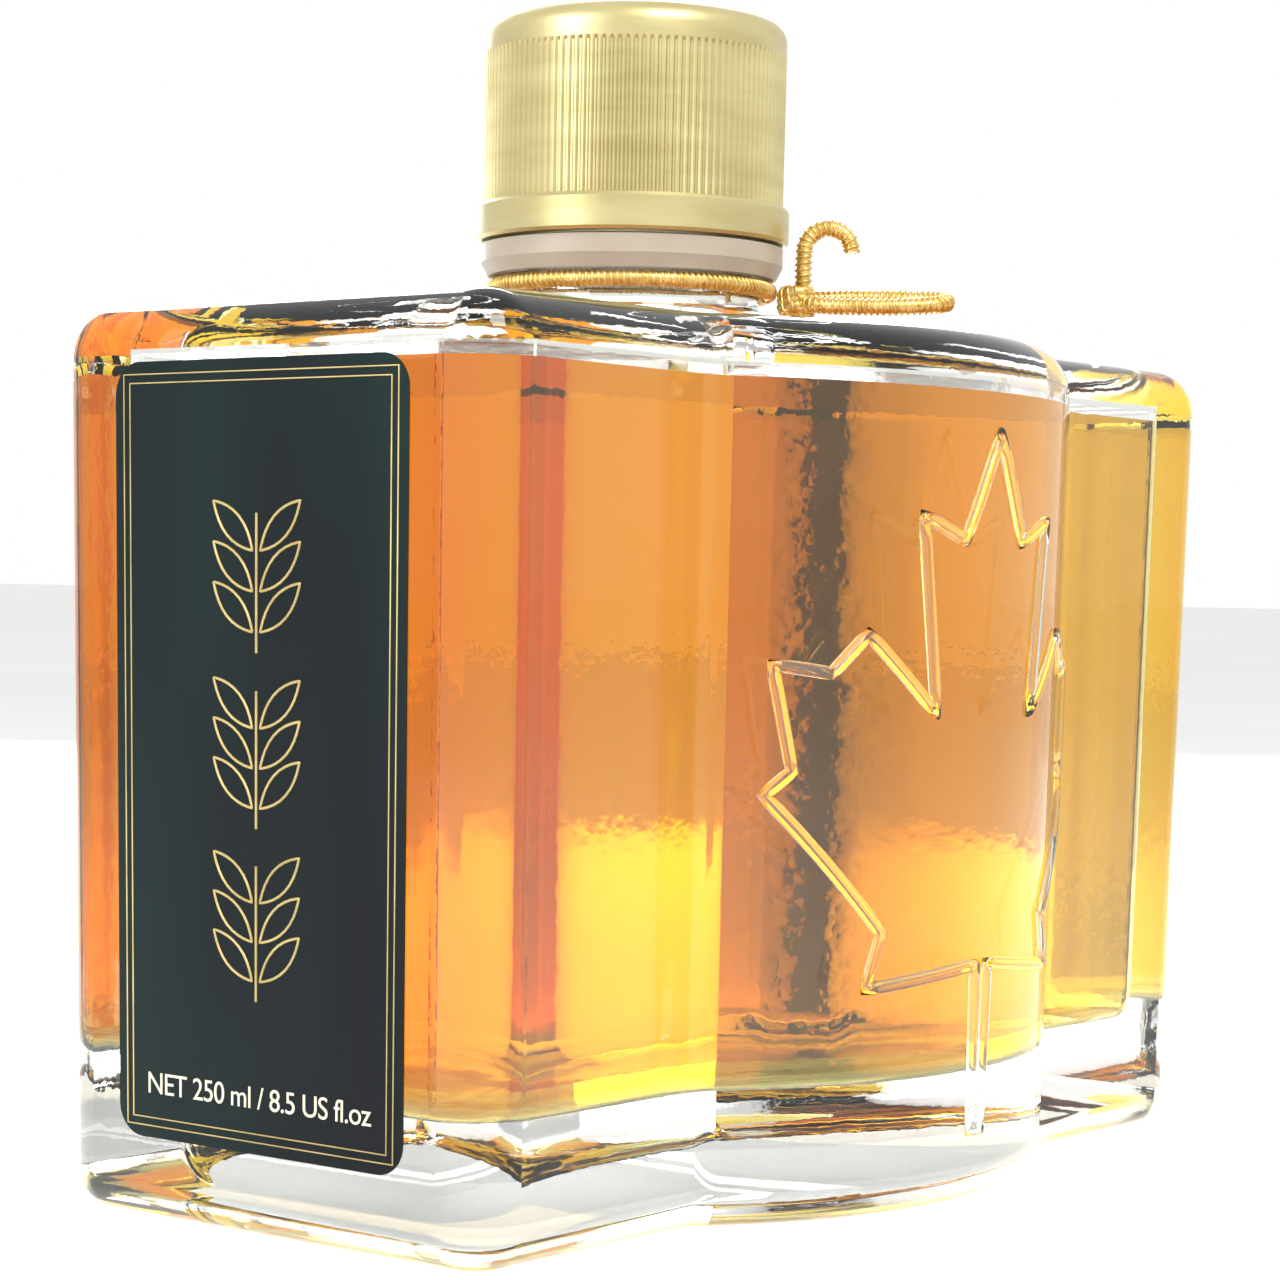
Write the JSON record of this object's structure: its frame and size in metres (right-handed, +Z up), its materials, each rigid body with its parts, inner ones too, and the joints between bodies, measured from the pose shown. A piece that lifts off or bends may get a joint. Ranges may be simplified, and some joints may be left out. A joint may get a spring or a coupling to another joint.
{
  "type": "syrup bottle",
  "caption": "Low wide glass bottle with flat ends and a bowed middle, full of syrup, with a screw cap and a gold neck tie.",
  "frame": {"origin": "middle of the overall box at its base", "axes": "+X along the long side, label end at -X; -Y is the front with the leaf; +Z up"},
  "size_m": [0.1117, 0.0678, 0.1045],
  "materials": {
    "bottle_glass": "clear glass",
    "syrup": "clear amber syrup",
    "cap": "satin champagne gold",
    "tamper_ring": "pale translucent plastic",
    "label": "near-black printed film",
    "neck_tie": "spiral-wrapped gold thread"
  },
  "bodies": {
    "root": {"bottle_glass": "bottle_glass", "syrup": "syrup", "cap": "cap", "tamper_ring": "tamper_ring", "label": "label", "neck_tie": "neck_tie"}
  },
  "joints": []
}
